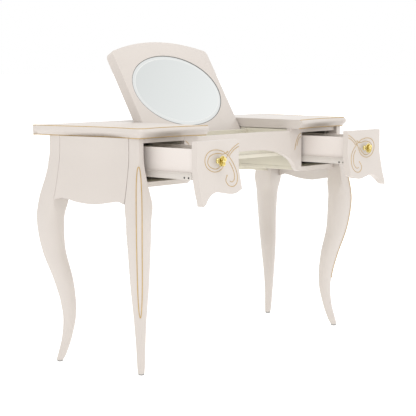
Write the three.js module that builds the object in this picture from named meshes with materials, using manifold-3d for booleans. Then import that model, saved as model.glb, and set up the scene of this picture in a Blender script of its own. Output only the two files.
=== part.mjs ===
// Dressing table with two side drawers and a flip-up mirror lid over a centre well.
// Millimetres, +Z up, front at -Y, X = 0 on the plane of symmetry.
// The lid stands open on its stop and both drawers are pulled out.
import * as THREE from 'three';
import { mergeVertices } from 'three/addons/utils/BufferGeometryUtils.js';
import Module from 'manifold-3d';

const wasm = await Module();
wasm.setup();

// ---------------------------------------------------------------- driving dimensions
const gap = 0.3;                     // between pieces that touch

const topZ = 760;                    // height of the table top
const slabT = 31;                    // thickness of the moulded top
const slabZ = topZ - slabT;
const topBackY = 213.9;
const cornerX = 545;                 // front corners of the top
const cornerY = -224;

const wellX = 244.6;                 // half width of the opening under the lid
const postX = 306.8;                 // outer edge of the posts beside the opening
const frontY = -190;                 // front plane of rails and posts
const boardT = 12;
const railT = 25;
const openLowZ = 594;                // drawer opening, bottom and top
const openHighZ = 713.7;
const railLowZ = 578.5;

const frontLeg = { x: 561.2, y: 238.8 };   // corner that the leg curve is measured from
const backLeg = { x: 592.9, y: 193.8 };
const glideH = 4;

const drawerIn = 318.1;              // drawer box, inner and outer side faces
const drawerOut = 477.7;
const drawerLowZ = 612.6;
const drawerHighZ = 702.4;
const drawerOpenY = -376.1;          // back face of the drawer front when pulled out
const drawerLength = 312;
const faceIn = 290;                  // drawer front, inner and outer edge, top edge
const faceOut = 484;
const faceHighZ = 725.5;
const faceT = 21;
const sideT = 12;

const lidHalf = 240.8;
const lidT = 38;
const lidBackY = 106.5;              // lid measured closed
const lidCrownY = -272.5;
const lidSagitta = 38.5;
const lidCornerR = 22;
const pivotY = 56.25;
const pivotZ = 737;
const lidOpen = THREE.MathUtils.degToRad(120.8);
const mirrorY = -79.2;               // mirror centre, lid closed
const mirrorA = 215;
const mirrorB = 137;
const mirrorT = 5;

// ---------------------------------------------------------------- materials
const material = (color, roughness, metalness = 0) =>
  new THREE.MeshStandardMaterial({ color, roughness, metalness });
const lacquer = material(0xebe2da, 0.38);
const carcass = material(0xe2dacb, 0.5);
const silver = material(0xdfe4e4, 0.04, 1);
const gold = material(0xc9a85e, 0.3, 1);
const steel = material(0xf0efeb, 0.35, 0.2);
const nylon = material(0xf4f2ec, 0.45);
const pin = material(0xb9b6ae, 0.3, 1);
const pad = material(0x8b8b88, 0.8);
const felt = material(0xcfc7b8, 0.95);

// ---------------------------------------------------------------- shape helpers
// Smooth curve through [position, value] pairs, level at both ends.
function curve(points) {
  const n = points.length;
  const slope = points.map((p, i) => (i === 0 || i === n - 1) ? 0
    : (points[i + 1][1] - points[i - 1][1]) / (points[i + 1][0] - points[i - 1][0]));
  return (t) => {
    if (t <= points[0][0]) return points[0][1];
    if (t >= points[n - 1][0]) return points[n - 1][1];
    let i = 0;
    while (t > points[i + 1][0]) i += 1;
    const [a, va] = points[i];
    const [b, vb] = points[i + 1];
    const w = b - a;
    const u = (t - a) / w;
    return va * (1 - u) ** 2 * (1 + 2 * u) + vb * u * u * (3 - 2 * u)
      + w * slope[i] * u * (1 - u) ** 2 - w * slope[i + 1] * u * u * (1 - u);
  };
}

// Even steps from a to b, both ends included.
const steps = (a, b, n) => Array.from({ length: n + 1 }, (_, i) => a + (b - a) * i / n);

// Closed geometry from points and faces, turned so that its faces point out.
function closedMesh(points, faces) {
  const volume = faces.reduce((sum, [a, b, c]) =>
    sum + points[a].dot(new THREE.Vector3().crossVectors(points[b], points[c])), 0);
  const index = faces.flatMap(([a, b, c]) => (volume < 0 ? [a, c, b] : [a, b, c]));
  const geometry = new THREE.BufferGeometry();
  geometry.setAttribute('position',
    new THREE.Float32BufferAttribute(points.flatMap((p) => p.toArray()), 3));
  geometry.setIndex(index);
  geometry.computeVertexNormals();
  return geometry;
}

// Solid between equal rings of points, with flat caps on the first and last ring.
function loft(rings) {
  const n = rings[0].length;
  const points = rings.flat();
  const faces = [];
  for (let r = 0; r < rings.length - 1; r += 1) {
    for (let i = 0; i < n; i += 1) {
      const a = r * n + i;
      const b = r * n + (i + 1) % n;
      faces.push([a, b, b + n], [a, b + n, a + n]);
    }
  }
  const cap = (ring) => {
    const outline = ring.map((p) => new THREE.Vector2(p.x, p.y));
    const turned = THREE.ShapeUtils.area(outline) < 0;
    return THREE.ShapeUtils.triangulateShape(outline, []).map(([a, b, c]) => (turned ? [a, c, b] : [a, b, c]));
  };
  const last = (rings.length - 1) * n;
  cap(rings[0]).forEach(([a, b, c]) => faces.push([a, c, b]));
  cap(rings[rings.length - 1]).forEach(([a, b, c]) => faces.push([last + a, last + b, last + c]));
  return closedMesh(points, faces);
}

// Solid between two surfaces, each a function of u and v from 0 to 1.
function sheet(us, vs, front, back) {
  const row = vs.length;
  const count = us.length * row;
  const points = [front, back].flatMap((side) => us.flatMap((u) => vs.map((v) => side(u, v))));
  const faces = [];
  const quad = (a, b, c, d) => faces.push([a, b, c], [a, c, d]);
  for (let i = 0; i < us.length - 1; i += 1) {
    for (let j = 0; j < row - 1; j += 1) {
      const a = i * row + j;
      quad(a, a + row, a + row + 1, a + 1);
      quad(count + a, count + a + 1, count + a + row + 1, count + a + row);
    }
  }
  const rim = [];
  for (let i = 0; i < us.length - 1; i += 1) rim.push(i * row);
  for (let j = 0; j < row - 1; j += 1) rim.push((us.length - 1) * row + j);
  for (let i = us.length - 1; i > 0; i -= 1) rim.push(i * row + row - 1);
  for (let j = row - 1; j > 0; j -= 1) rim.push(j);
  rim.forEach((a, k) => {
    const b = rim[(k + 1) % rim.length];
    quad(a, count + a, count + b, b);
  });
  return closedMesh(points, faces);
}

// Box between two corners.
function board(x0, x1, y0, y1, z0, z1) {
  const geometry = new THREE.BoxGeometry(Math.abs(x1 - x0), Math.abs(y1 - y0), Math.abs(z1 - z0));
  return geometry.translate((x0 + x1) / 2, (y0 + y1) / 2, (z0 + z1) / 2);
}

// Round bar along X or Y.
function bar(radius, length, axis, center, sides = 24) {
  const geometry = new THREE.CylinderGeometry(radius, radius, length, sides);
  if (axis === 'x') geometry.rotateZ(Math.PI / 2);
  return geometry.translate(center.x, center.y, center.z);
}

function toManifold(geometry) {
  const bare = geometry.clone();
  bare.deleteAttribute('normal');
  bare.deleteAttribute('uv');
  const merged = mergeVertices(bare, 1e-4);
  return new wasm.Manifold(new wasm.Mesh({
    numProp: 3,
    vertProperties: new Float32Array(merged.attributes.position.array),
    triVerts: new Uint32Array(merged.index.array),
  }));
}

function fromManifold(solid) {
  const mesh = solid.getMesh();
  const geometry = new THREE.BufferGeometry();
  geometry.setAttribute('position', new THREE.BufferAttribute(new Float32Array(mesh.vertProperties), 3));
  geometry.setIndex(new THREE.BufferAttribute(new Uint32Array(mesh.triVerts), 1));
  geometry.computeVertexNormals();
  return geometry;
}

const cut = (geometry, ...tools) =>
  fromManifold(tools.reduce((solid, tool) => solid.subtract(toManifold(tool)), toManifold(geometry)));
const common = (a, b) => fromManifold(toManifold(a).intersect(toManifold(b)));
const joined = (a, b) => fromManifold(toManifold(a).add(toManifold(b)));

// Mirror image on the other side of X = 0, for the pieces that come in pairs.
function mirrored(geometry) {
  const copy = geometry.clone().scale(-1, 1, 1);
  if (!copy.index) copy.setIndex([...Array(copy.attributes.position.count).keys()]);
  const index = copy.index.array;
  for (let i = 0; i < index.length; i += 3) {
    [index[i + 1], index[i + 2]] = [index[i + 2], index[i + 1]];
  }
  copy.computeVertexNormals();
  return copy;
}

const table = new THREE.Group();
const lid = new THREE.Group();
const drawers = { left: new THREE.Group(), right: new THREE.Group() };

function add(name, geometry, look, parent = table) {
  const mesh = new THREE.Mesh(geometry, look);
  mesh.name = name;
  parent.add(mesh);
}

// Geometry is drawn for the right side (+X).
function addPair(name, geometry, look, parents = { left: table, right: table }) {
  add(`${name}_right`, geometry, look, parents.right);
  add(`${name}_left`, mirrored(geometry), look, parents.left);
}

// ---------------------------------------------------------------- legs
// Cabriole curve along the corner's diagonal: outer and inner offset from the leg's corner.
const legOuter = curve([[0, -42], [20, -45.5], [80, -55.8], [160, -58], [260, -38], [360, -11.8],
  [460, 0], [530, -6], [600, -22], [655, -33], [700, -35]]);
const legInner = curve([[0, -60], [20, -67.5], [80, -82.7], [160, -94.9], [260, -92.8], [360, -79],
  [460, -77], [530, -75], [600, -73], [655, -72]]);
// Along Y the curve leans a little; the block above the knee has its own width and depth.
const frontRun = {
  width: curve([[380, 0], [460, 3], [530, 8], [600, 13], [700, 14]]),
  lean: curve([[0, 3.5], [250, 0], [450, -3.5]]),
  depth: curve([[440, 0], [540, 6], [600, 1], [655, -3], [700, -4]]),
};
const backRun = {
  width: () => 0,
  lean: curve([[0, -2.5], [250, -0.5], [450, 1.5]]),
  depth: curve([[440, 0], [530, -8], [560, -11]]),
};
const innerY = (z, run) => legInner(z) + run.lean(z) + run.depth(z);
// The block above the knee is square; below it the leg is rounded.
const legRound = curve([[0, 0.4], [300, 0.48], [470, 0.44], [535, 0.05]]);
const chamferLowZ = 176;
const chamferHighZ = 645;
function chamferW(z) {
  const along = (z - chamferLowZ) / (chamferHighZ - chamferLowZ);
  if (along <= 0 || along >= 1) return 0;
  return (10 + 3.8 * along) * Math.sqrt(1 - Math.abs(2 * along - 1) ** 4);
}

function legRing(z, corner, sx, sy) {
  const run = sy < 0 ? frontRun : backRun;
  const outer = legOuter(z);
  const inner = legInner(z) + run.width(z);
  const far = outer + run.lean(z);
  const near = innerY(z, run);
  const soft = Math.max((outer - legInner(z)) * legRound(z), 2);
  const radii = [Math.max(chamferW(z), 3), soft, soft, soft];
  const ring = [];
  [[1, 1], [-1, 1], [-1, -1], [1, -1]].forEach(([a, b], k) => {
    const r = radii[k];
    const ca = (a > 0 ? outer - r : inner + r);
    const cb = (b > 0 ? far - r : near + r);
    steps(k * Math.PI / 2, (k + 1) * Math.PI / 2, 3).forEach((angle) => {
      ring.push(new THREE.Vector3(sx * (corner.x + ca + r * Math.cos(angle)),
        sy * (corner.y + cb + r * Math.sin(angle)), z));
    });
  });
  return ring;
}

const legLevels = [glideH + gap, 20, 45, 80, 120, 160, 195, 230, 262, 295, 328, 360, 393, 427, 460, 495,
  525, 542, 560, 600, 628, 655, 690, slabZ - gap];
const legs = { front_left: [frontLeg, -1, -1], front_right: [frontLeg, 1, -1],
  back_left: [backLeg, -1, 1], back_right: [backLeg, 1, 1] };
Object.entries(legs).forEach(([place, [corner, sx, sy]]) => {
  add(`leg_${place}`, loft(legLevels.map((z) => legRing(z, corner, sx, sy))), lacquer);
  const middle = (legOuter(glideH) + legInner(glideH)) / 2;
  const { lean } = sy < 0 ? frontRun : backRun;
  const glide = new THREE.CylinderGeometry(9.5, 8.5, glideH, 20).rotateX(Math.PI / 2);
  add(`glide_${place}`, glide.translate(sx * (corner.x + middle), sy * (corner.y + middle + lean(0)), glideH / 2), pad);
});

// ---------------------------------------------------------------- moulded top
// Half outline of the top, from the middle of the front round to the middle of the back.
const frontEdge = curve([[0, -262], [wellX, -240], [330, -222], [415, -214], [480, -219], [520, cornerY]]);
const sideEdge = curve([[-190, cornerX], [-140, 539.5], [-60, 538.5], [30, 553], [120, 571], [200, 578]]);
function topHalfOutline() {
  const front = [...steps(0, wellX, 6), ...steps(wellX, 516, 12).slice(1)].map((x) => [x, frontEdge(x)]);
  const corner = [[531, -222], [541, -212], [545, -198]];
  const side = steps(-184, 200, 12).map((y) => [sideEdge(y), y]);
  // The moulding runs out past the plain back edge, where the slab is cut off square.
  const past = topBackY + 40;
  return [...front, ...corner, ...side, [578, past], [wellX, past], [0, past]];
}
const half = topHalfOutline();
const topOutline = [...half, ...half.slice(1, -1).reverse().map(([x, y]) => [-x, y])]
  .map(([x, y]) => new THREE.Vector2(x, y));

function inset(outline, distance) {
  return outline.map((p, i) => {
    const before = outline[(i + outline.length - 1) % outline.length];
    const after = outline[(i + 1) % outline.length];
    const dir = after.clone().sub(before).normalize();
    return new THREE.Vector2(p.x - dir.y * distance, p.y + dir.x * distance);
  });
}

// Thumb moulding: inset of the edge at each height, from the underside up.
const moulding = [[slabZ, 14.5], [slabZ + 4, 11.5], [slabZ + 9, 6.5], [slabZ + 13, 2.5], [slabZ + 17, 0.4],
  [slabZ + 20, 0], [slabZ + 23, 1], [slabZ + 26, 3], [slabZ + 29, 6], [topZ, 8.5]];
const slab = loft(moulding.map(([z, d]) =>
  inset(topOutline, d).map((p) => new THREE.Vector3(p.x, p.y, z))));
const beyond = 900;
const pinR = 3;
const runFit = 0.1;                  // clearance round a pin that something turns on
const pinHole = bar(pinR + runFit, 24, 'x', new THREE.Vector3(wellX + 11, pivotY, pivotZ), 20);
const rearY = 111.2;                 // front edge of the strip behind the lid
addPair('top', cut(common(slab, board(wellX, beyond, -beyond, topBackY, 0, beyond)), pinHole), lacquer);
add('top_rear', common(slab, board(-wellX + gap, wellX - gap, rearY, topBackY, 0, beyond)), lacquer);

// ---------------------------------------------------------------- front frame
const apronT = 18;
const apronTop = topZ - lidT - 0.4;
const postTop = slabZ - gap;
const archLowZ = 588;
const archRise = 74;
const archHalf = 276;
const apronY = (x) => frontY + 16 * Math.max(1 - (x / wellX) ** 2, 0);
function archZ(x) {
  const out = Math.abs(x) / archHalf;
  if (out > 1) return Math.max(archLowZ - (Math.abs(x) - archHalf) * 0.6, railLowZ);
  return archLowZ + archRise * (1 - out ** 3.8) ** 0.75;
}
const apronAt = (depth) => (u, v) => {
  const x = postX * (2 * u - 1);
  return new THREE.Vector3(x, apronY(x) + depth, archZ(x) + (postTop - archZ(x)) * v);
};
const apron = sheet(steps(0, 1, 44), steps(0, 1, 1), apronAt(0), apronAt(apronT));
// The closed lid rests on the apron, between its two higher ends.
const lidSeat = board(-wellX + gap, wellX - gap, frontY - 5, frontY + 50, apronTop, topZ);
add('apron_centre', cut(apron, lidSeat), lacquer);

const legFaceX = frontLeg.x + legInner(railLowZ) + frontRun.width(railLowZ);
const railX0 = postX + gap;
const railX1 = legFaceX - gap;
addPair('upper_rail', board(railX0, railX1, frontY, frontY + railT, openHighZ, postTop), lacquer);
addPair('lower_rail', board(railX0, railX1, frontY, frontY + railT, railLowZ, openLowZ), lacquer);

// ---------------------------------------------------------------- end panels and back
// Scalloped lower edge, along Y.
const scallop = curve([[-165, 530], [-142, 536], [-100, 530], [-60, 523.5], [-20, 523.5], [20, 527],
  [60, 534.5], [88, 536], [111, 529]]);
const panelT = 16;
const panelAt = (depth) => (u, v) => {
  const nearY = (z) => -(frontLeg.y + innerY(z, frontRun)) + gap;
  const farY = (z) => backLeg.y + innerY(z, backRun) - gap;
  const y0 = nearY(560) + (farY(560) - nearY(560)) * u;
  const z = scallop(y0) + (slabZ - gap - scallop(y0)) * v;
  const y = nearY(z) + (farY(z) - nearY(z)) * u;
  const faceX = frontLeg.x + (backLeg.x - frontLeg.x) * u + legOuter(z);
  return new THREE.Vector3(faceX - depth, y, z);
};
addPair('end_panel', sheet(steps(0, 1, 20), steps(0, 1, 8), panelAt(0), panelAt(panelT)), lacquer);

const backY = 128;
const backEnd = backLeg.x + legInner(545) - gap;
const backLow = curve([[0, 566], [300, 566], [420, 560], [495, 551], [520, 549]]);
const backAt = (depth) => (u, v) => {
  const x = backEnd * (2 * u - 1);
  const low = backLow(Math.abs(x));
  return new THREE.Vector3(x, backY + depth, low + (slabZ - gap - low) * v);
};
add('back_panel', sheet(steps(0, 1, 24), steps(0, 1, 1), backAt(0), backAt(boardT)), carcass);

// ---------------------------------------------------------------- inside boards
const boardBackY = backY - gap;
const guideX = 487.6;                // board that carries the outer runner
const guideY = -158.5;               // clear of the leg blocks
addPair('partition', board(postX - 18, postX - gap, frontY + apronT + gap, boardBackY, openLowZ, postTop),
  carcass);
addPair('bay_bottom', board(postX - 18, legFaceX - gap, frontY + railT + gap, boardBackY, openLowZ - boardT,
  openLowZ - gap), carcass);
addPair('guide_board', board(guideX, guideX + 10, guideY, boardBackY, openLowZ,
  postTop), carcass);

const wellFloorZ = 648;
const wellSideTop = slabZ - 2.7;
const wellWallY = 3.5;               // wall that the open lid leans on
addPair('well_side', board(wellX, wellX + boardT, frontY + apronT + 3 * gap, rearY - 3, wellFloorZ - boardT,
  wellSideTop), carcass);
const floorAt = (z) => (u, v) => {
  const x = (wellX - gap) * (2 * u - 1);
  const front = apronY(x) + apronT + 3 * gap;
  return new THREE.Vector3(x, front + (wellWallY - gap - front) * v, z);
};
add('well_floor', sheet(steps(0, 1, 12), steps(0, 1, 1), floorAt(wellFloorZ), floorAt(wellFloorZ - boardT)),
  carcass);
add('well_back', board(-wellX + gap, wellX - gap, wellWallY, wellWallY + boardT, wellFloorZ - boardT,
  apronTop), carcass);

// ---------------------------------------------------------------- lid with mirror
lid.position.set(0, pivotY, pivotZ);
lid.rotation.x = -lidOpen;
const closed = (geometry) => geometry.translate(0, -pivotY, -pivotZ);

function lidOutline(edge) {
  const w = lidHalf - edge;
  const back = lidBackY - edge;
  const radius = (lidHalf ** 2 + lidSagitta ** 2) / (2 * lidSagitta);
  const arch = (x) => lidCrownY + edge + radius - Math.sqrt(radius ** 2 - x * x);
  const r = lidCornerR;
  const right = [...steps(0, w - r, 10).map((x) => [x, arch(x)]),
    ...steps(-62, 0, 4).slice(1).map((deg) => {
      const a = THREE.MathUtils.degToRad(deg);
      return [w - r + r * Math.cos(a), arch(w - r) + r * 0.96 + r * Math.sin(a)];
    }), [w, back - 3], [w - 3, back]];
  return [...right, ...right.slice(1).reverse().map(([x, y]) => [-x, y])];
}
const underZ = topZ - lidT;
const lidProfile = [[underZ, 2], [underZ + 2, 0], [topZ - 5, 0], [topZ - 1.6, 1.4], [topZ, 5]];
const lidBody = loft(lidProfile.map(([z, edge]) =>
  lidOutline(edge).map(([x, y]) => new THREE.Vector3(x, y, z))));
const oval = (grow, z0, z1, bevel = 0) => {
  const ring = (a, b, z) => steps(0, 2 * Math.PI, 48).slice(0, -1).map((t) =>
    new THREE.Vector3(a * Math.cos(t), mirrorY + b * Math.sin(t), z));
  const rings = [ring(mirrorA + grow, mirrorB + grow, z1), ring(mirrorA + grow, mirrorB + grow, z0 + bevel)];
  if (bevel > 0) rings.push(ring(mirrorA - 11, mirrorB - 11, z0));
  return loft(rings.reverse());
};
const lidPinHole = bar(pinR + runFit, 30, 'x', new THREE.Vector3(lidHalf, pivotY, pivotZ), 20);
const lidShape = cut(lidBody, oval(gap, underZ - 5, underZ + mirrorT + gap), lidPinHole,
  mirrored(lidPinHole));
add('lid_panel', closed(lidShape), lacquer, lid);
add('mirror_glass', closed(oval(0, underZ, underZ + mirrorT, 1.6)), silver, lid);

// Pivot pins sit in the ends of the side tops and carry the lid.
addPair('lid_pin', bar(pinR, 22, 'x', new THREE.Vector3(wellX - 0.6, pivotY, pivotZ), 20), pin);

// Pads on the well's back wall take the open lid.
const padZ = 708;
const lidFaceY = 52.5 + (padZ - topZ) * Math.tan(lidOpen - Math.PI / 2);
const padY0 = wellWallY + boardT + gap;
const padY1 = lidFaceY - 3.2;
addPair('lid_buffer', bar(5, padY1 - padY0, 'y', new THREE.Vector3(170, (padY0 + padY1) / 2, padZ), 20), felt);

// ---------------------------------------------------------------- drawers
// The front is vertical, then leans forward below; its lower edge waves and drops to the leg.
const faceLean = curve([[534, -24], [574, -14.5], [617, -5.5], [655, 0]]);
const faceLow = curve([[faceIn, 573], [315, 565], [342, 562], [375, 567], [405, 572], [430, 568],
  [455, 554], [472, 538], [faceOut, 534]]);
const faceLevels = [0, 0.13, 0.26, 0.4, 0.55, 1];
const faceAt = (side) => (u, v) => {
  const x = faceIn + (faceOut - faceIn) * u;
  const z = faceLow(x) + (faceHighZ - faceLow(x)) * v;
  const y = drawerOpenY - gap + (side === 'front' ? -faceT + faceLean(z) : Math.min(faceLean(z) + 3, 0));
  return new THREE.Vector3(x, y, z);
};
addPair('drawer_front', sheet(steps(0, 1, 24), faceLevels, faceAt('front'), faceAt('back')), lacquer, drawers);

const boxY0 = drawerOpenY;
const boxY1 = drawerOpenY + drawerLength;
addPair('drawer_side_inner', board(drawerIn, drawerIn + sideT, boxY0, boxY1, drawerLowZ, drawerHighZ),
  lacquer, drawers);
addPair('drawer_side_outer', board(drawerOut - sideT, drawerOut, boxY0, boxY1, drawerLowZ, drawerHighZ),
  lacquer, drawers);
const insideX0 = drawerIn + sideT + gap;
const insideX1 = drawerOut - sideT - gap;
addPair('drawer_back', board(insideX0, insideX1, boxY1 - sideT, boxY1, drawerLowZ + 12, drawerHighZ - 8),
  carcass, drawers);
addPair('drawer_bottom', board(insideX0, insideX1, boxY0, boxY1 - gap, drawerLowZ + 5, drawerLowZ + 11.5),
  carcass, drawers);

// Petal knob: a neck under a lobed head.
const knobX = 389;
const knobZ = 664.5;
const knobFace = drawerOpenY - gap - faceT - gap;
const knobProfile = [[0, 8.5], [3, 7.5], [6, 5], [11, 5.5], [14, 11], [17, 15.5], [20.5, 16.5], [23, 13], [25, 6.5]];
const petal = (angle, r) => (r > 9 ? 1 + 0.13 * Math.cos(6 * angle) : 1);
const knob = loft(knobProfile.map(([h, r]) => steps(0, 2 * Math.PI, 36).slice(0, -1).map((t) =>
  new THREE.Vector3(r * petal(t, r) * Math.cos(t), r * petal(t, r) * Math.sin(t), h))));
addPair('drawer_knob', knob.rotateX(Math.PI / 2).translate(knobX, knobFace, knobZ), gold, drawers);

// ---------------------------------------------------------------- roller runners
// Sections are drawn for a runner whose drawer is on the -X side of its board.
function section(points, y0, y1) {
  const shape = new THREE.Shape(points.map(([x, z]) => new THREE.Vector2(x, z)));
  const geometry = new THREE.ExtrudeGeometry(shape, { depth: y1 - y0, bevelEnabled: false });
  return geometry.rotateX(Math.PI / 2).translate(0, y1, 0);
}
const steelT = 1.2;
const slideLow = drawerLowZ - 0.4 - steelT;
const slideHigh = slideLow + 21;
const fixedLow = slideLow - 11;
// x = 0 is the drawer's side face; the board's face is at x = clear.
const slideSection = [[-11, slideLow], [gap + steelT, slideLow], [gap + steelT, slideHigh - steelT],
  [8, slideHigh - steelT], [8, slideHigh], [gap, slideHigh], [gap, slideLow + steelT],
  [-11, slideLow + steelT]];
const fixedSection = (clear) => [[clear - 8, fixedLow], [clear - gap, fixedLow], [clear - gap, fixedLow + 28],
  [clear - gap - steelT, fixedLow + 28], [clear - gap - steelT, fixedLow + steelT],
  [clear - 8, fixedLow + steelT]];
const rollerR = 9.5;
const rollerW = 6.2;
const axleR = 2.5;
const rollerY = frontY + 17;
const rollerZ = slideHigh - steelT - 0.4 - rollerR;
function runner(place, faceX, turn, clear) {
  const put = (points) => points.map(([x, z]) => [faceX + turn * x, z]);
  addPair(`runner_slide_${place}`, section(put(slideSection), boxY0 + 4, boxY1 - 6), steel, drawers);
  const center = new THREE.Vector3(faceX + turn * (clear + gap - 0.2) / 2, rollerY, rollerZ);
  const axleLength = clear / 2 + rollerW / 2 - gap - steelT / 2;
  const axleEnd = faceX + turn * (clear - gap - steelT / 2);
  const axleAt = new THREE.Vector3(axleEnd - turn * axleLength / 2, rollerY, rollerZ);
  const bracket = section(put(fixedSection(clear)), frontY + 6, boardBackY - 3);
  addPair(`runner_fixed_${place}`, joined(bracket, bar(axleR, axleLength, 'x', axleAt, 16)), steel);
  const bore = bar(axleR + runFit, 2 * rollerW, 'x', center, 16);
  addPair(`runner_roller_${place}`, cut(bar(rollerR, rollerW, 'x', center, 24), bore), nylon);
}
runner('outer', drawerOut, 1, guideX - drawerOut);
runner('inner', drawerIn, -1, drawerIn - (postX - gap));

// ---------------------------------------------------------------- assembly
table.add(lid, drawers.left, drawers.right);
const group = new THREE.Group();
group.add(table);
group.updateMatrixWorld(true);
// Origin under the middle of the whole object as it stands open.
const extent = new THREE.Box3().setFromObject(table);
table.position.y = -(extent.min.y + extent.max.y) / 2;
export default group;
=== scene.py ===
"""Looks of the dressing table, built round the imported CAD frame. Metres, front at -Y, +Z up."""
import math

import bmesh
import bpy
from mathutils import Matrix, Vector


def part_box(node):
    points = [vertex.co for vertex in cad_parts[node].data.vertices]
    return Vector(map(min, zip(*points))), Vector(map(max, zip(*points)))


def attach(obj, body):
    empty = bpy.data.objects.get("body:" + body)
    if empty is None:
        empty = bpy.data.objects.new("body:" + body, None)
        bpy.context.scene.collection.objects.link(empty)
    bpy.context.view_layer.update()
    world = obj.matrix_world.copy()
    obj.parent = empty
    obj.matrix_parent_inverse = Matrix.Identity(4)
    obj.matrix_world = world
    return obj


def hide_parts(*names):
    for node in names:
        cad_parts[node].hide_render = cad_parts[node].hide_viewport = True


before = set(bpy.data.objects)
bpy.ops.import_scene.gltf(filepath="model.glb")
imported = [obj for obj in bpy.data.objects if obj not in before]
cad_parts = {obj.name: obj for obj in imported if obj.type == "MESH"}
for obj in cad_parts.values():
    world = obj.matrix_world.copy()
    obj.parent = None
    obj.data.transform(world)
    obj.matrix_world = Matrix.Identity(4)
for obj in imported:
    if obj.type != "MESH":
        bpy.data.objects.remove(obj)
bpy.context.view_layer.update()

# ------------------------------------------------------------------ driving dimensions
MM = 0.001
SIDES = (("right", 1), ("left", -1))
GAP = 0.3 * MM
LINE_R = 0.00140                     # half width of the painted gold lines
SCROLL_R = LINE_R * 0.7              # and of the thinner ones in the scrolls
LIFT = 0.0002                        # how far a painted line's middle stands off its surface

TOP_Z = 0.760
SLAB_Z = 0.729
TOP_BACK = 0.2139
WELL_X = 0.2446
POST_X = 0.3068
FRONT_Y = -0.190
APRON_T = 0.018
LID_T = 0.038
FRONT_LEG = (0.5612, 0.2388)
BACK_LEG = (0.5929, 0.1938)

# Widths of the softly rounded edges.
REAR_EDGE, PANEL_EDGE, APRON_EDGE, FACE_EDGE, BOARD_EDGE = 0.0008, 0.0010, 0.0012, 0.0014, 0.0009
WELD = 0.00001                       # doubled points of a CAD node closer than this are one

# The pieces below are worked out about the middle of the table top; the frame lies SHIFT further back.
SHIFT = Vector((0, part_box("top_rear")[1][1] - TOP_BACK, 0))


# ------------------------------------------------------------------ curves
def curve(points):
    """Smooth function through (position, value) pairs, level at both ends."""
    last = len(points) - 1
    slope = [0.0] * (last + 1)
    for i in range(1, last):
        slope[i] = (points[i + 1][1] - points[i - 1][1]) / (points[i + 1][0] - points[i - 1][0])

    def at(t):
        if t <= points[0][0]:
            return points[0][1]
        if t >= points[last][0]:
            return points[last][1]
        i = max(k for k in range(last) if points[k][0] <= t)
        (a, va), (b, vb) = points[i], points[i + 1]
        w = b - a
        u = (t - a) / w
        ends = va * (1 - u) ** 2 * (1 + 2 * u) + vb * u * u * (3 - 2 * u)
        return ends + w * slope[i] * u * (1 - u) ** 2 - w * slope[i + 1] * u * u * (1 - u)

    return at


def mm_curve(points):
    """A curve given in millimetres, used in metres."""
    return curve([(a * MM, b * MM) for a, b in points])


def steps(a, b, n):
    return [a + (b - a) * i / n for i in range(n + 1)]


def through(points, per_span=10):
    """Catmull-Rom line through the points."""
    pts = [Vector(p) for p in points]
    pts = [2 * pts[0] - pts[1]] + pts + [2 * pts[-1] - pts[-2]]
    line = []
    for a, b, c, d in zip(pts, pts[1:], pts[2:], pts[3:]):
        for k in range(per_span):
            t = k / per_span
            line.append(0.5 * (2 * b + (c - a) * t + (2 * a - 5 * b + 4 * c - d) * t * t
                               + (3 * b - a - 3 * c + d) * t ** 3))
    return line + [pts[-2]]


# ------------------------------------------------------------------ mesh building
def loft(rings):
    """Points and faces of a solid between equal rings, capped at both ends."""
    n = len(rings[0])
    points = [p for ring in rings for p in ring]
    faces = [tuple(range(n)), tuple(range(len(points) - n, len(points)))]
    for r in range(len(rings) - 1):
        for i in range(n):
            a, b = r * n + i, r * n + (i + 1) % n
            faces.append((a, b, b + n, a + n))
    return points, faces


def sheet(us, vs, front, back):
    """Points and faces of a solid between two surfaces of u and v."""
    row = len(vs)
    count = len(us) * row
    points = [side(u, v) for side in (front, back) for u in us for v in vs]
    faces = []
    for i in range(len(us) - 1):
        for j in range(row - 1):
            a = i * row + j
            quad = (a, a + row, a + row + 1, a + 1)
            faces += [quad, tuple(count + k for k in reversed(quad))]
    rim = [i * row for i in range(len(us) - 1)]
    rim += [(len(us) - 1) * row + j for j in range(row - 1)]
    rim += [i * row + row - 1 for i in range(len(us) - 1, 0, -1)]
    rim += list(range(row - 1, 0, -1))
    for a, b in zip(rim, rim[1:] + rim[:1]):
        faces.append((a, count + a, count + b, b))
    return points, faces


def finish_edges(obj, bevel, angle=32):
    """Shades smooth, with crisp or softly rounded edges."""
    for polygon in obj.data.polygons:
        polygon.use_smooth = True
    obj.data.set_sharp_from_angle(angle=math.radians(angle))
    if bevel:
        rounding = obj.modifiers.new("rounding", "BEVEL")
        rounding.width = bevel
        rounding.segments = 3
        rounding.limit_method = "ANGLE"
        rounding.angle_limit = math.radians(angle)
        rounding.harden_normals = True


def piece(name, shape, look, body, replaced=(), side=1, bevel=0.0, turn=None):
    """A mesh piece that rides on a body. side -1 mirrors it; turn places it about SHIFT."""
    points, faces = shape
    mesh = bpy.data.meshes.new(name)
    place = turn or Matrix.Identity(4)
    mesh.from_pydata([place @ Vector((side * p[0], p[1], p[2])) + SHIFT for p in points], [], faces)
    shell = bmesh.new()
    shell.from_mesh(mesh)
    bmesh.ops.recalc_face_normals(shell, faces=shell.faces)
    shell.to_mesh(mesh)
    shell.free()
    obj = bpy.data.objects.new(name, mesh)
    bpy.context.scene.collection.objects.link(obj)
    mesh.materials.append(look)
    finish_edges(obj, bevel)
    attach(obj, body)
    if replaced:
        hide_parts(*replaced)
    return obj


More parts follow.
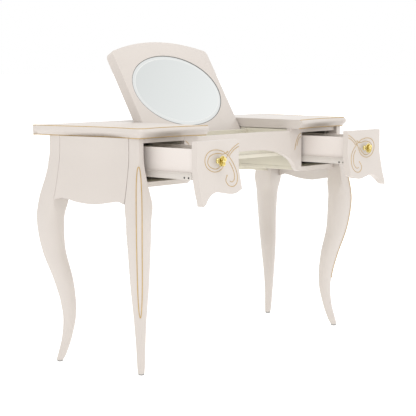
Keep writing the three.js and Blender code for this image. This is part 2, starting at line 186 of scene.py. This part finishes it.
def line(name, points, radius, look, body, slot, side=1, turn=None, closed=False):
    """A thin raised line along the points."""
    data = bpy.data.curves.new(name, "CURVE")
    data.dimensions = "3D"
    data.bevel_depth = radius
    data.bevel_resolution = 2
    data.use_fill_caps = not closed
    place = turn or Matrix.Identity(4)
    spline = data.splines.new("POLY")
    spline.points.add(len(points) - 1)
    for target, p in zip(spline.points, points):
        target.co = (place @ Vector((side * p[0], p[1], p[2])) + SHIFT).to_4d()
    spline.use_cyclic_u = closed
    obj = bpy.data.objects.new(name, data)
    bpy.context.scene.collection.objects.link(obj)
    data.materials.append(look)
    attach(obj, body)
    return obj


# ------------------------------------------------------------------ materials
def srgb(*rgb):
    """Linear colour of an 8-bit display colour."""
    return [(c / 255 / 12.92) if c < 11 else ((c / 255 + 0.055) / 1.055) ** 2.4 for c in rgb] + [1.0]


def material(name, color, roughness, metallic=0.0, tint=0.02, tint_scale=9.0, grain=0.0, grain_scale=900.0,
             spread=0.05, coat=0.0, stretch=(1, 1, 1)):
    """Principled surface with slight variation of colour and gloss, and a fine grain in its relief."""
    look = bpy.data.materials.new(name)
    look.use_nodes = True
    nodes, links = look.node_tree.nodes, look.node_tree.links
    surface = nodes["Principled BSDF"]
    surface.inputs["Metallic"].default_value = metallic
    surface.inputs["Coat Weight"].default_value = coat
    surface.inputs["Coat Roughness"].default_value = 0.25
    place = nodes.new("ShaderNodeTexCoord")
    mapping = nodes.new("ShaderNodeMapping")
    mapping.inputs["Scale"].default_value = stretch
    links.new(place.outputs["Object"], mapping.inputs["Vector"])
    clouds = nodes.new("ShaderNodeTexNoise")
    clouds.inputs["Scale"].default_value = tint_scale
    clouds.inputs["Detail"].default_value = 4
    links.new(mapping.outputs["Vector"], clouds.inputs["Vector"])
    shades = nodes.new("ShaderNodeValToRGB")
    shades.color_ramp.elements[0].position = 0.3
    shades.color_ramp.elements[1].position = 0.7
    shades.color_ramp.elements[0].color = [c * (1 - tint) for c in color[:3]] + [1]
    shades.color_ramp.elements[1].color = [min(1, c * (1 + tint)) for c in color[:3]] + [1]
    links.new(clouds.outputs["Fac"], shades.inputs["Fac"])
    links.new(shades.outputs["Color"], surface.inputs["Base Color"])
    gloss = nodes.new("ShaderNodeMapRange")
    gloss.inputs["To Min"].default_value = max(0.02, roughness - spread)
    gloss.inputs["To Max"].default_value = roughness + spread
    links.new(clouds.outputs["Fac"], gloss.inputs["Value"])
    links.new(gloss.outputs["Result"], surface.inputs["Roughness"])
    if grain:
        fine = nodes.new("ShaderNodeTexNoise")
        fine.inputs["Scale"].default_value = grain_scale
        fine.inputs["Detail"].default_value = 3
        links.new(mapping.outputs["Vector"], fine.inputs["Vector"])
        bump = nodes.new("ShaderNodeBump")
        bump.inputs["Strength"].default_value = grain
        bump.inputs["Distance"].default_value = 0.0004
        links.new(fine.outputs["Fac"], bump.inputs["Height"])
        links.new(bump.outputs["Normal"], surface.inputs["Normal"])
    return look


def shade_across(look, low, high, along, start):
    """Paints light and shade into the base colour, running from low to high along a direction of the piece's
    own box.
    """
    nodes, links = look.node_tree.nodes, look.node_tree.links
    place = nodes.new("ShaderNodeTexCoord")
    run = nodes.new("ShaderNodeVectorMath")
    run.operation = "DOT_PRODUCT"
    run.inputs[1].default_value = along
    links.new(place.outputs["Generated"], run.inputs[0])
    shift = nodes.new("ShaderNodeMath")
    shift.inputs[1].default_value = start
    links.new(run.outputs["Value"], shift.inputs[0])
    shades = nodes.new("ShaderNodeValToRGB")
    shades.color_ramp.elements[0].color = low
    shades.color_ramp.elements[1].color = high
    links.new(shift.outputs["Value"], shades.inputs["Fac"])
    links.new(shades.outputs["Color"], nodes["Principled BSDF"].inputs["Base Color"])


CREAM = srgb(199, 191, 184)
BEIGE = srgb(212, 207, 192)
lacquer = material("cream_lacquer", CREAM, 0.42, tint=0.012, grain=0.12, grain_scale=1100, coat=0.15)
# Painted light: the inner boards get a beige lighter than the cream lacquer, to lift the shade they lie in.
inside_painted_light = material("inside_lacquer", BEIGE, 0.6, tint=0.02, grain=0.25, grain_scale=700)
# Painted light: the drawer boxes get a lighter copy of the cream lacquer, to lift the shade on their sides.
box_lacquer_painted_light = material("drawer_box_lacquer_painted_light", srgb(216, 208, 202), 0.5, tint=0.012, grain=0.12, grain_scale=1100)
# Painted shade: the guide boards are a dark brown-grey that stands for the shade deep inside the drawer bays.
painted_bay_shade = material("bay_painted_shade", srgb(120, 115, 106), 0.7, tint=0.02, grain=0.25, grain_scale=700)
gold_line = material("gold_line", srgb(186, 156, 100), 0.5, metallic=0.3, tint=0.10, tint_scale=60, grain=0.3)
gilt = material("gilt_metal", srgb(222, 206, 140), 0.24, metallic=1.0, tint=0.16, tint_scale=120, grain=0.25)
silver = material("silvered_glass", srgb(226, 229, 228), 0.03, metallic=1.0, tint=0.004, spread=0.01)
# Painted shade: the bevel gets a darker copy of the silvered glass.
bevel_glass_painted_shade = material("bevelled_glass_painted_shade", srgb(217, 219, 218), 0.03, metallic=1.0, tint=0.004, spread=0.01)
# Painted highlight: a bright band along the bevel's inner edge.
bevel_edge_painted_highlight = material("bevel_edge_painted_highlight", srgb(232, 232, 228), 0.1, metallic=0.6, tint=0.004, spread=0.01)
# The dark rim is the glass's ground edge, with painted shade of the gap round the glass.
glass_edge_and_gap_shade = material("glass_edge_and_gap_shade", srgb(120, 120, 118), 0.3, metallic=0.4, tint=0.08, tint_scale=80)
epoxy = material("white_steel", srgb(203, 197, 190), 0.4, tint=0.01, grain=0.2, grain_scale=1500)
nylon = material("nylon", srgb(214, 210, 203), 0.4, tint=0.01, grain=0.1)
pin_steel = material("pin_steel", srgb(190, 188, 182), 0.3, metallic=1.0, tint=0.05, grain=0.2,
                     stretch=(30, 1, 1))
# Painted reflection: the silvered glass runs from a darker to a lighter grey across the mirror.
shade_across(silver, srgb(205, 208, 207), srgb(226, 229, 228), (0.6, 0, -0.4), 0.4)
rubber = material("buffer_rubber", srgb(206, 200, 188), 0.7, tint=0.03, grain=0.3)
glide = material("glide_pad", srgb(150, 149, 146), 0.75, tint=0.05, grain=0.5)
# Painted shade: the screw heads are dark to stand for the shade in their recesses.
screw_painted_shade = material("screw_recess_painted_shade", srgb(52, 50, 48), 0.55, metallic=0.5, tint=0.1, tint_scale=200)

# ------------------------------------------------------------------ legs
LEG_OUTER = mm_curve([(0, -42), (20, -45.5), (80, -55.8), (160, -58), (260, -38), (360, -11.8),
                      (460, 0), (530, -6), (600, -22), (655, -33), (700, -35)])
LEG_INNER = mm_curve([(0, -60), (20, -67.5), (80, -82.7), (160, -94.9), (260, -92.8), (360, -79),
                      (460, -77), (530, -75), (600, -73), (655, -72)])
LEG_ROUND = curve([(0, 0.40), (0.300, 0.48), (0.470, 0.44), (0.535, 0.05)])
# Along Y the curve leans a little; the block above the knee has its own width and depth.
FRONT_WIDTH = mm_curve([(380, 0), (460, 3), (530, 8), (600, 13), (700, 14)])
FRONT_LEAN = mm_curve([(0, 3.5), (250, 0), (450, -3.5)])
FRONT_DEPTH = mm_curve([(440, 0), (540, 6), (600, 1), (655, -3), (700, -4)])
BACK_LEAN = mm_curve([(0, -2.5), (250, -0.5), (450, 1.5)])
BACK_DEPTH = mm_curve([(440, 0), (530, -8), (560, -11)])
LENS_LOW, LENS_HIGH = 0.176, 0.645   # ends of the flat on the leg's outer corner
LENS_W, LENS_GROW = 0.0100, 0.0038   # its half width at the foot, and how much that grows upwards
LENS_TIP = 0.0008                    # half the distance between its two gold lines where they meet
SOFT_MIN, FLAT_MIN = 0.002, 0.0025   # least rounding of the other corners and of the flat
FLAT_BOW = 0.10
GLIDE_H = 0.004


def lens_width(z):
    """How far the flat on the leg's outer corner reaches along either face."""
    along = (z - LENS_LOW) / (LENS_HIGH - LENS_LOW)
    if not 0 < along < 1:
        return 0.0
    return (LENS_W + LENS_GROW * along) * math.sqrt(1 - abs(2 * along - 1) ** 4)


def far_y(z, sy):
    """Offset of the leg's outer face along Y."""
    return LEG_OUTER(z) + (FRONT_LEAN(z) if sy < 0 else BACK_LEAN(z))


def near_y(z, sy):
    """Offset of the leg's inner face along Y."""
    lean, depth = (FRONT_LEAN, FRONT_DEPTH) if sy < 0 else (BACK_LEAN, BACK_DEPTH)
    return LEG_INNER(z) + lean(z) + depth(z)


def leg_ring(z, corner, sy, arc=8):
    outer, inner, far, near = LEG_OUTER(z), LEG_INNER(z), far_y(z, sy), near_y(z, sy)
    soft = max((outer - inner) * LEG_ROUND(z), SOFT_MIN)
    if sy < 0:
        inner += FRONT_WIDTH(z)
    flat = max(lens_width(z), FLAT_MIN)
    ring = []
    for k, (a, b) in enumerate(((1, 1), (-1, 1), (-1, -1), (1, -1))):
        r = soft if k else flat
        ca = outer - r if a > 0 else inner + r
        cb = far - r if b > 0 else near + r
        for i in range(arc + 1):
            angle = (k + i / arc) * math.pi / 2
            px, py = ca + r * math.cos(angle), cb + r * math.sin(angle)
            if k == 0:
                # The corner is cut to a nearly flat facet.
                t = i / arc
                bow = FLAT_BOW * r * math.sin(math.pi * t)
                px, py = outer - r * t + bow, far - r * (1 - t) + bow
            ring.append((corner[0] + px, sy * (corner[1] + py), z))
    return ring


def leg_levels():
    """Even levels, with one at each end of the flat."""
    low = GLIDE_H + GAP
    return sorted(steps(low, SLAB_Z - GAP, 90) + [LENS_LOW, LENS_HIGH])


def make_legs():
    for end, corner, sy in (("front", FRONT_LEG, -1), ("back", BACK_LEG, 1)):
        for side, s in SIDES:
            node = f"leg_{end}_{side}"
            shape = loft([leg_ring(z, corner, sy) for z in leg_levels()])
            piece(f"{node}_turned", shape, lacquer, "carcass", (node,), s)
    # Gold lines along both edges of the front legs' flats.
    for side, s in SIDES:
        for edge, (da, db) in (("side", (0, 1)), ("face", (1, 0))):
            path = []
            for t in steps(0, math.pi, 80):
                z = LENS_LOW + (LENS_HIGH - LENS_LOW) * (1 - math.cos(t)) / 2
                w = max(lens_width(z), LENS_TIP)
                path.append((FRONT_LEG[0] + LEG_OUTER(z) + LIFT - w * da,
                             -(FRONT_LEG[1] + far_y(z, -1) + LIFT - w * db), z))
            line(f"leg_line_{edge}_{side}", path, LINE_R, gold_line, "carcass", "gilt_metal", s)


# ------------------------------------------------------------------ moulded top
FRONT_EDGE = mm_curve([(0, -262), (244.6, -240), (330, -222), (415, -214), (480, -219), (520, -224)])
SIDE_EDGE = mm_curve([(-190, 545), (-140, 539.5), (-60, 538.5), (30, 553), (120, 571), (200, 578)])
MOULDING = [(0, 14.5), (2, 12.9), (4, 11.5), (6.5, 9.1), (9, 6.5), (11, 4.4), (13, 2.5), (15, 1.3), (17, 0.4),
            (18.5, 0.1), (20, 0), (21.5, 0.3), (23, 1), (24.5, 1.9), (26, 3), (27.5, 4.3), (29, 6), (30.2, 7),
            (31, 8.5)]
CORNER = [(0.522, -0.2236), (0.531, -0.2215), (0.538, -0.2162), (0.5425, -0.208), (0.5445, -0.198)]
RUN_OUT = 0.04
TOP_LINES = (("upper", TOP_Z - 0.0006, 0.0078), ("lower", SLAB_Z + 0.0009, 0.0136))   # height and inset


def top_outline():
    """Outline of the right part of the top, from the lid opening round to the back."""
    front = [(x, FRONT_EDGE(x)) for x in steps(WELL_X, 0.512, 40)]
    side = [(SIDE_EDGE(y), y) for y in steps(-0.188, 0.196, 44)]
    # The moulding runs out past the plain back edge, where the slab is cut off square.
    past = TOP_BACK + RUN_OUT
    return front + CORNER + side + [(0.578, 0.208), (0.578, past), (WELL_X, past)]


def inset(outline, distance):
    """The outline moved inwards, its two ends staying at the opening."""
    moved = []
    for i, (x, y) in enumerate(outline):
        before = Vector(outline[max(i - 1, 0)])
        after = Vector(outline[min(i + 1, len(outline) - 1)])
        run = (after - before).normalized()
        x2, y2 = x - run.y * distance, y + run.x * distance
        moved.append((WELL_X if i in (0, len(outline) - 1) else x2, min(y2, TOP_BACK)))
    return moved


def make_top():
    outline = top_outline()
    levels = [(SLAB_Z + z * MM, d * MM) for z, d in MOULDING]
    shape = loft([[(x, y, z) for x, y in inset(outline, d)] for z, d in levels])
    for side, s in SIDES:
        piece(f"top_{side}_moulded", shape, lacquer, "carcass", (f"top_{side}",), s)
        for name, z, d in TOP_LINES:
            path = [(x, y, z) for x, y in inset(outline, d)][:-1]
            line(f"top_line_{name}_{side}", path, LINE_R, gold_line, "carcass", "gilt_metal", s)
    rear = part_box("top_rear")
    near = rear[0][1] - SHIFT.y
    section = [(near, SLAB_Z), (TOP_BACK, SLAB_Z), (TOP_BACK, TOP_Z), (near, TOP_Z)]
    rings = [[(x, y, z) for y, z in section] for x in (rear[0][0], rear[1][0])]
    piece("top_rear_moulded", loft(rings), lacquer, "carcass", ("top_rear",),
          bevel=REAR_EDGE)


# ------------------------------------------------------------------ front: apron and posts
ARCH_LOW, ARCH_RISE, ARCH_HALF = 0.588, 0.074, 0.276
APRON_BOW = 0.016                    # how far the apron curves in between the posts
APRON_TOP = TOP_Z - LID_T - 0.0004
RAIL_LOW = 0.5785

# Scroll ends that run on from the drawer front over the post, as (x, z).
POST_TAILS = (
    [(0.302, 0.712), (0.290, 0.704), (0.279, 0.690), (0.272, 0.672), (0.268, 0.655)],
    [(0.302, 0.700), (0.292, 0.694), (0.284, 0.682), (0.280, 0.668)],
)


def arch_z(x):
    """Lower edge of the apron: an arch between two straight-sided feet."""
    out = abs(x) / ARCH_HALF
    if out > 1:
        return max(ARCH_LOW - (abs(x) - ARCH_HALF) * 0.6, RAIL_LOW)
    return ARCH_LOW + ARCH_RISE * (1 - out ** 3.8) ** 0.75


def apron_y(x):
    return FRONT_Y + APRON_BOW * max(1 - (x / WELL_X) ** 2, 0)


def make_front():
    seat = WELL_X - GAP
    half = steps(0, seat, 36) + steps(seat + 0.0001, POST_X, 16)
    places = [-x for x in reversed(half[1:])] + half

    def apron(depth):
        def at(x, v):
            # The closed lid rests between the two higher ends.
            high = APRON_TOP if abs(x) <= seat else SLAB_Z - GAP
            return (x, apron_y(x) + depth, arch_z(x) + (high - arch_z(x)) * v)
        return at

    shape = sheet(places, steps(0, 1, 4), apron(0), apron(APRON_T))
    piece("apron_shaped", shape, lacquer, "carcass", ("apron_centre",), bevel=APRON_EDGE)
    for side, s in SIDES:
        for k, tail in enumerate(POST_TAILS):
            path = [(x, apron_y(x) - LIFT, z) for x, z in (p[:2] for p in through(tail))]
            line(f"post_scroll_{k}_{side}", path, SCROLL_R, gold_line, "carcass", "gilt_metal", s)


# ------------------------------------------------------------------ end panels
SCALLOP = mm_curve([(-165, 530), (-142, 536), (-100, 530), (-60, 523.5), (-20, 523.5), (20, 527),
                    (60, 534.5), (88, 536), (111, 529)])
PANEL_T = 0.016
PANEL_MID = 0.560                    # height at which the panel's ends are measured
JOINT = 0.0011                       # open line between panel and leg


def make_end_panels():
    def near(z):
        return -(FRONT_LEG[1] + near_y(z, -1)) + JOINT

    def far(z):
        return BACK_LEG[1] + near_y(z, 1) - JOINT

    def panel(depth):
        def at(u, v):
            y0 = near(PANEL_MID) + (far(PANEL_MID) - near(PANEL_MID)) * u
            z = SCALLOP(y0) + (SLAB_Z - GAP - SCALLOP(y0)) * v
            y = near(z) + (far(z) - near(z)) * u
            return (FRONT_LEG[0] + (BACK_LEG[0] - FRONT_LEG[0]) * u + LEG_OUTER(z) - depth, y, z)
        return at

    shape = sheet(steps(0, 1, 60), steps(0, 1, 40), panel(0), panel(PANEL_T))
    for side, s in SIDES:
        piece(f"end_panel_bowed_{side}", shape, lacquer, "carcass",
              (f"end_panel_{side}",), s, bevel=PANEL_EDGE)


# ------------------------------------------------------------------ lid and mirror
PIVOT = Vector((0, 0.05625, 0.737))
OPEN = Matrix.Translation(PIVOT) @ Matrix.Rotation(math.radians(-120.8), 4, "X") @ Matrix.Translation(-PIVOT)
LID_HALF, LID_BACK, LID_CROWN, LID_SAG, LID_R = 0.2408, 0.1065, -0.2725, 0.0385, 0.022
MIRROR_Y, MIRROR_A, MIRROR_B, MIRROR_T = -0.0792, 0.215, 0.137, 0.005
LID_CORNER = 0.003                   # cut across the lid's back corners
RECESS_RIM, RECESS_EASE = 0.0012, 0.0008   # the softened edge of the mirror's recess
GLASS_SIDE, GLASS_EASE, GLASS_IN = 0.0022, 0.0016, 0.0007   # where the glass's own edge is ground
RIM_R, RIM_IN = 0.0012, 0.0006       # dark line round the glass: its ground edge, darkened further as painted shade of the gap round it
MIRROR_BEVEL = 0.012
BEVEL_LINE = 0.0014                  # painted highlight: a bright line along the bevel's inner edge


def lid_outline(edge):
    w, back, r = LID_HALF - edge, LID_BACK - edge, LID_R
    radius = (LID_HALF ** 2 + LID_SAG ** 2) / (2 * LID_SAG)

    def arch(x):
        return LID_CROWN + edge + radius - math.sqrt(radius ** 2 - x * x)

    right = [(x, arch(x)) for x in steps(0, w - r, 24)]
    for deg in steps(-62, 0, 12)[1:]:
        a = math.radians(deg)
        right.append((w - r + r * math.cos(a), arch(w - r) + r * 0.96 + r * math.sin(a)))
    right += [(w, y) for y in steps(right[-1][1], back - LID_CORNER, 16)[1:]]
    right += [(w - LID_CORNER, back)] + [(x, back) for x in steps(w - LID_CORNER, 0, 20)[1:]]
    return right + [(-x, y) for x, y in right[1:-1][::-1]]


def oval(a, b, z, directions):
    """Points of an oval round the mirror's centre, seen in the given directions."""
    ring = []
    for angle in directions:
        t = math.atan2(a * math.sin(angle), b * math.cos(angle))
        ring.append((a * math.cos(t), MIRROR_Y + b * math.sin(t), z))
    return ring


def make_lid():
    under = TOP_Z - LID_T
    around = [math.atan2(y - MIRROR_Y, x) for x, y in lid_outline(0)]
    profile = [(0, 2.6), (0.5, 1.3), (1.3, 0.5), (2.6, 0), (33, 0), (34.6, 0.35), (36.2, 1.2), (37.4, 2.7),
               (38, 5)]
    rings = [oval(MIRROR_A + GAP, MIRROR_B + GAP, under + MIRROR_T + GAP, around),
             oval(MIRROR_A + GAP, MIRROR_B + GAP, under + RECESS_EASE, around),
             oval(MIRROR_A + RECESS_RIM, MIRROR_B + RECESS_RIM, under, around)]
    rings += [[(x, y, under + z * MM) for x, y in lid_outline(d * MM)] for z, d in profile]
    piece("lid_panel_shaped", loft(rings), lacquer, "lid", ("lid_panel",), turn=OPEN)

    round_off = steps(0, 2 * math.pi, 128)[:-1]
    glass = [oval(MIRROR_A, MIRROR_B, under + MIRROR_T, round_off),
             oval(MIRROR_A, MIRROR_B, under + GLASS_SIDE, round_off),
             oval(MIRROR_A - GLASS_IN, MIRROR_B - GLASS_IN, under + GLASS_EASE, round_off),
             oval(MIRROR_A - MIRROR_BEVEL, MIRROR_B - MIRROR_BEVEL, under, round_off),
             oval(MIRROR_A - MIRROR_BEVEL - BEVEL_LINE, MIRROR_B - MIRROR_BEVEL - BEVEL_LINE, under, round_off)]
    mirror = piece("mirror_bevelled", loft(glass), silver, "lid", ("mirror_glass",),
                   turn=OPEN)
    # The bevel is so shallow that its edges are crisp from a few degrees on.
    mirror.data.set_sharp_from_angle(angle=math.radians(4))
    # The bevel, painted a darker shade than the mirror, and the painted highlight along its inner edge are the
    # last two bands.
    count = len(round_off)
    for k, look in ((1, bevel_glass_painted_shade), (2, bevel_edge_painted_highlight)):
        mirror.data.materials.append(look)
        for i in range((k - 3) * count, (k - 2) * count):
            mirror.data.polygons[i].material_index = k
    rim = oval(MIRROR_A - RIM_IN, MIRROR_B - RIM_IN, under + RIM_R, round_off)
    line("mirror_rim", rim, RIM_R, glass_edge_and_gap_shade, "lid", "silvered_glass", turn=OPEN, closed=True)


# ------------------------------------------------------------------ drawers
FACE_OPEN_Y = -0.3761
FACE_IN, FACE_OUT, FACE_TOP, FACE_T = 0.290, 0.484, 0.7255, 0.021
FACE_LEAN = mm_curve([(534, -24), (574, -14.5), (617, -5.5), (655, 0)])
FACE_LOW = mm_curve([(290, 573), (315, 565), (342, 562), (375, 567), (405, 572), (430, 568),
                     (455, 554), (472, 538), (484, 534)])
FACE_BACK_LEAN = 0.003               # the back of the front leans that much less
KNOB_X, KNOB_Z = 0.389, 0.6645
RUNNER_OUT, RUNNER_IN = 0.4777 + 0.0015, 0.3181 - 0.0015   # outward faces of the two runners on a drawer
SCREW_Z, SCREW_START, SCREW_STEP, SCREW_R = 0.6165, 0.016, 0.017, 0.0032
SCREW_SHOW = 0.00012                 # nearly flush, so that it clears the roller

# Painted scrolls on a drawer front, as (x, z), from the inner top edge round the knob.
SCROLLS = (
    [(0.2915, 0.7125), (0.312, 0.7035), (0.333, 0.690), (0.352, 0.668), (0.365, 0.646), (0.384, 0.6345),
     (0.409, 0.6325), (0.434, 0.642), (0.4475, 0.660), (0.4455, 0.680), (0.428, 0.694), (0.402, 0.698),
     (0.373, 0.694), (0.348, 0.6825), (0.326, 0.664), (0.311, 0.643), (0.3045, 0.620), (0.308, 0.600),
     (0.320, 0.588), (0.337, 0.5845), (0.353, 0.590), (0.361, 0.602), (0.3575, 0.6125), (0.3525, 0.6165)],
    [(0.2915, 0.7035), (0.309, 0.6965), (0.323, 0.688), (0.331, 0.6815)],
    [(0.341, 0.6895), (0.363, 0.6835), (0.386, 0.687), (0.410, 0.6855), (0.429, 0.6775), (0.4355, 0.662),
     (0.4265, 0.649), (0.406, 0.641), (0.388, 0.6425), (0.373, 0.653), (0.360, 0.667)],
    [(0.336, 0.659), (0.324, 0.642), (0.3175, 0.622), (0.321, 0.606), (0.332, 0.598), (0.343, 0.601)],
)
DOTS = ((0.3525, 0.6185), (0.3335, 0.679), (0.3455, 0.690))
DOT_R = 0.0024
DOME = ((1, -0.3), (0.96, 0.35), (0.75, 0.8), (0.4, 1))   # radius and height of a dot, as shares of its own


def face_y(z):
    """Front surface of a pulled-out drawer front."""
    return FACE_OPEN_Y - GAP - FACE_T + FACE_LEAN(z)


def drawer_face():
    def surface(side):
        def at(u, v):
            x = FACE_IN + (FACE_OUT - FACE_IN) * u
            z = FACE_LOW(x) + (FACE_TOP - FACE_LOW(x)) * v
            if side == "front":
                return (x, face_y(z), z)
            return (x, FACE_OPEN_Y - GAP + min(FACE_LEAN(z) + FACE_BACK_LEAN, 0), z)
        return at

    return sheet(steps(0, 1, 64), steps(0, 1, 36), surface("front"), surface("back"))


# The knob, in millimetres: radius and height of its turned parts, direction and reach of its petals,
# and the width, foot height and lift of each ring of petals.
KNOB_NECK = ((8.5, 0), (8.2, 1.2), (6.4, 2.4), (5, 5), (5, 9), (6.5, 12), (7.5, 14.5))
KNOB_HEART = ((2.0, 17.5), (3.6, 19.5), (4.2, 22), (3.4, 24), (1.2, 25))
PETALS = ((0.35, 18.0), (1.68, 17.0), (2.80, 18.2), (4.10, 17.4), (5.32, 18.2))
SMALL_PETALS = tuple((0.95 + k * math.pi / 2, 10.5) for k in range(4))
PETAL_RINGS = ((PETALS, (15.5, 12.6, 4.4)), (SMALL_PETALS, (9.5, 16.6, 3.9)))
PETAL_CUP = ((0.30, 0.0), (0.80, 0.4), (1.0, 1.0), (0.94, 1.7), (0.74, 1.75), (0.50, 1.05), (0.05, 0.75))


def knob_shape():
    """Neck under a flower of curled, well separated petals round a small heart."""
    def turned(profile, spokes=40):
        around = [2 * math.pi * k / spokes for k in range(spokes)]
        return loft([[(r * MM * math.cos(a), r * MM * math.sin(a), h * MM) for a in around]
                     for r, h in profile])

    def petal(angle, reach, width, base, lift, spokes=28):
        """One cupped petal pointing along the angle, thick at its curled rim."""
        rings = []
        for r, h in PETAL_CUP:
            ring = []
            for k in range(spokes):
                a = 2 * math.pi * k / spokes
                long = reach * (0.5 + 0.5 * r * math.cos(a))
                wide = 0.5 * width * r * math.sin(a) * (1 + 0.25 * math.cos(a))
                up = base + lift * h * (0.55 + 0.45 * math.cos(a) * r)
                ring.append((long * math.cos(angle) - wide * math.sin(angle),
                             long * math.sin(angle) + wide * math.cos(angle), up))
            rings.append(ring)
        return loft(rings)

    parts = [turned(KNOB_NECK)]
    for petals, (width, base, lift) in PETAL_RINGS:
        for turn, reach in petals:
            parts.append(petal(turn, reach * MM, width * MM, base * MM, lift * MM))
    parts.append(turned(KNOB_HEART))
    points, faces = [], []
    for more_points, more_faces in parts:
        start = len(points)
        points += more_points
        faces += [tuple(start + i for i in face) for face in more_faces]
    front = FACE_OPEN_Y - 2 * GAP - FACE_T
    return [(KNOB_X + x, front - z, KNOB_Z + y) for x, y, z in points], faces


def make_drawers():
    face, knob = drawer_face(), knob_shape()
    for side, s in SIDES:
        body = f"drawer_{side}"
        piece(f"drawer_front_shaped_{side}", face, lacquer, body,
              (f"drawer_front_{side}",), s, bevel=FACE_EDGE)
        piece(f"drawer_knob_cast_{side}", knob, gilt, body, (f"drawer_knob_{side}",), s)
        for k, scroll in enumerate(SCROLLS):
            path = [(p.x, face_y(p.y) - LIFT, p.y) for p in through(scroll)]
            line(f"scroll_{k}_{side}", path, SCROLL_R, gold_line, body, "gilt_metal", s)
        for k, (x, z) in enumerate(DOTS):
            dot(f"scroll_dot_{k}_{side}", (x, face_y(z), z), DOT_R, gold_line, body, s)
        # Two screws through each runner, just behind the drawer front, their nearly flush heads painted dark as
        # the shade of their recesses.
        for edge, x, out in (("outer", RUNNER_OUT, 1), ("inner", RUNNER_IN, -1)):
            for k in range(2):
                place = (x, FACE_OPEN_Y + SCREW_START + SCREW_STEP * k, SCREW_Z)
                dot(f"runner_screw_{edge}_{k}_{side}", place, SCREW_R, screw_painted_shade, body, s, "x",
                    SCREW_SHOW * out)


def dot(name, center, radius, look, body, side=1, axis="y", height=0.0006):
    """A small domed disc lying on a face that looks along the axis."""
    rings = []
    for r, h in DOME:
        ring = []
        for k in range(24):
            a = 2 * math.pi * k / 24
            c, d, lift = radius * r * math.cos(a), radius * r * math.sin(a), h * height
            x, y, z = center
            ring.append((x + c, y - lift, z + d) if axis == "y" else (x + lift, y + c, z + d))
        rings.append(ring)
    return piece(name, loft(rings), look, body, side=side)


# ------------------------------------------------------------------ carried-over CAD nodes
def dress(node, look, bevel=0.0):
    """Gives a CAD node its finished surface, with softly rounded edges where asked."""
    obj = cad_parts[node]
    obj.data.materials.clear()
    obj.data.materials.append(look)
    if bevel:
        weld = obj.modifiers.new("weld", "WELD")
        weld.merge_threshold = WELD
        rounding = obj.modifiers.new("rounding", "BEVEL")
        rounding.width = bevel
        rounding.segments = 2
        rounding.limit_method = "ANGLE"
        rounding.angle_limit = math.radians(40)


def dress_nodes():
    plain = {"upper_rail": lacquer, "lower_rail": lacquer, "partition": inside_painted_light, "guide_board": painted_bay_shade,
             "bay_bottom": inside_painted_light, "well_side": inside_painted_light, "drawer_side_inner": box_lacquer_painted_light,
             "drawer_side_outer": box_lacquer_painted_light, "drawer_back": inside_painted_light, "drawer_bottom": inside_painted_light,
             "runner_fixed_outer": epoxy, "runner_fixed_inner": epoxy, "runner_slide_outer": epoxy,
             "runner_slide_inner": epoxy, "runner_roller_outer": nylon, "runner_roller_inner": nylon,
             "lid_pin": pin_steel, "lid_buffer": rubber, "glide_front": glide, "glide_back": glide}
    boards = ("rail", "partition", "board", "side", "drawer_back", "bottom")
    for name, look in plain.items():
        rounding = BOARD_EDGE if any(word in name for word in boards) else 0.0
        for side, _ in SIDES:
            dress(f"{name}_{side}", look, rounding)
    for node in ("back_panel", "well_floor", "well_back"):
        dress(node, inside_painted_light, REAR_EDGE)


# ------------------------------------------------------------------ light, floor and camera
# Name, place, aim, size and power of each lamp.
LAMPS = (
    ("key", (-1.6, -3.2, 3.4), (0, 0, 0.6), 2.4, 3),
    ("top", (-0.6, -0.9, 3.6), (0, 0, 0.7), 2.0, 24),
    ("fill", (-3.6, -3.0, 0.9), (0, 0, 0.5), 2.4, 3),
)
WORLD_LIGHT = 1.13
FLOOR_REACH = 60
FLOOR_GLOW = 0.55
CAMERA_PLACE = Vector((-3.4077, -2.9576, 0.9665))
CAMERA_DOWN, CAMERA_TURN = 6.40, 49.27   # degrees below level, and from +Y towards +X
CAMERA_LENS = 114.66


def area_light(name, place, aim, size, power):
    data = bpy.data.lights.new(name, "AREA")
    data.energy = power
    data.size = size
    obj = bpy.data.objects.new(name, data)
    obj.location = Vector(place)
    obj.rotation_euler = (Vector(aim) - Vector(place)).to_track_quat("-Z", "Y").to_euler()
    bpy.context.scene.collection.objects.link(obj)


def make_studio():
    scene = bpy.context.scene
    scene.view_settings.view_transform = "Standard"
    world = bpy.data.worlds.new("studio")
    world.use_nodes = True
    world.node_tree.nodes["Background"].inputs["Color"].default_value = (1, 1, 1, 1)
    # The backdrop is plain white to the camera and a little stronger as light.
    nodes, links = world.node_tree.nodes, world.node_tree.links
    seen, strength = nodes.new("ShaderNodeLightPath"), nodes.new("ShaderNodeMapRange")
    strength.inputs["To Min"].default_value = WORLD_LIGHT
    strength.inputs["To Max"].default_value = 1.0
    links.new(seen.outputs["Is Camera Ray"], strength.inputs["Value"])
    links.new(strength.outputs["Result"], nodes["Background"].inputs["Strength"])
    scene.world = world
    for lamp in LAMPS:
        area_light(*lamp)

    mesh = bpy.data.meshes.new("floor")
    r = FLOOR_REACH
    mesh.from_pydata([(-r, -r, 0), (r, -r, 0), (r, r, 0), (-r, r, 0)], [], [(0, 1, 2, 3)])
    floor = bpy.data.objects.new("floor", mesh)
    scene.collection.objects.link(floor)
    pale = material("floor_white", srgb(222, 222, 222), 0.9, tint=0.0)
    surface = pale.node_tree.nodes["Principled BSDF"]
    surface.inputs["Emission Color"].default_value = (1, 1, 1, 1)
    surface.inputs["Emission Strength"].default_value = FLOOR_GLOW
    mesh.materials.append(pale)


def make_camera():
    data = bpy.data.cameras.new("camera")
    data.lens = CAMERA_LENS
    data.sensor_width = 36
    camera = bpy.data.objects.new("camera", data)
    camera.location = CAMERA_PLACE + SHIFT
    camera.rotation_euler = (math.radians(90 - CAMERA_DOWN), 0, math.radians(-CAMERA_TURN))
    bpy.context.scene.collection.objects.link(camera)
    bpy.context.scene.camera = camera


make_camera()
make_studio()
dress_nodes()
make_legs()
make_top()
make_front()
make_end_panels()
make_lid()
make_drawers()
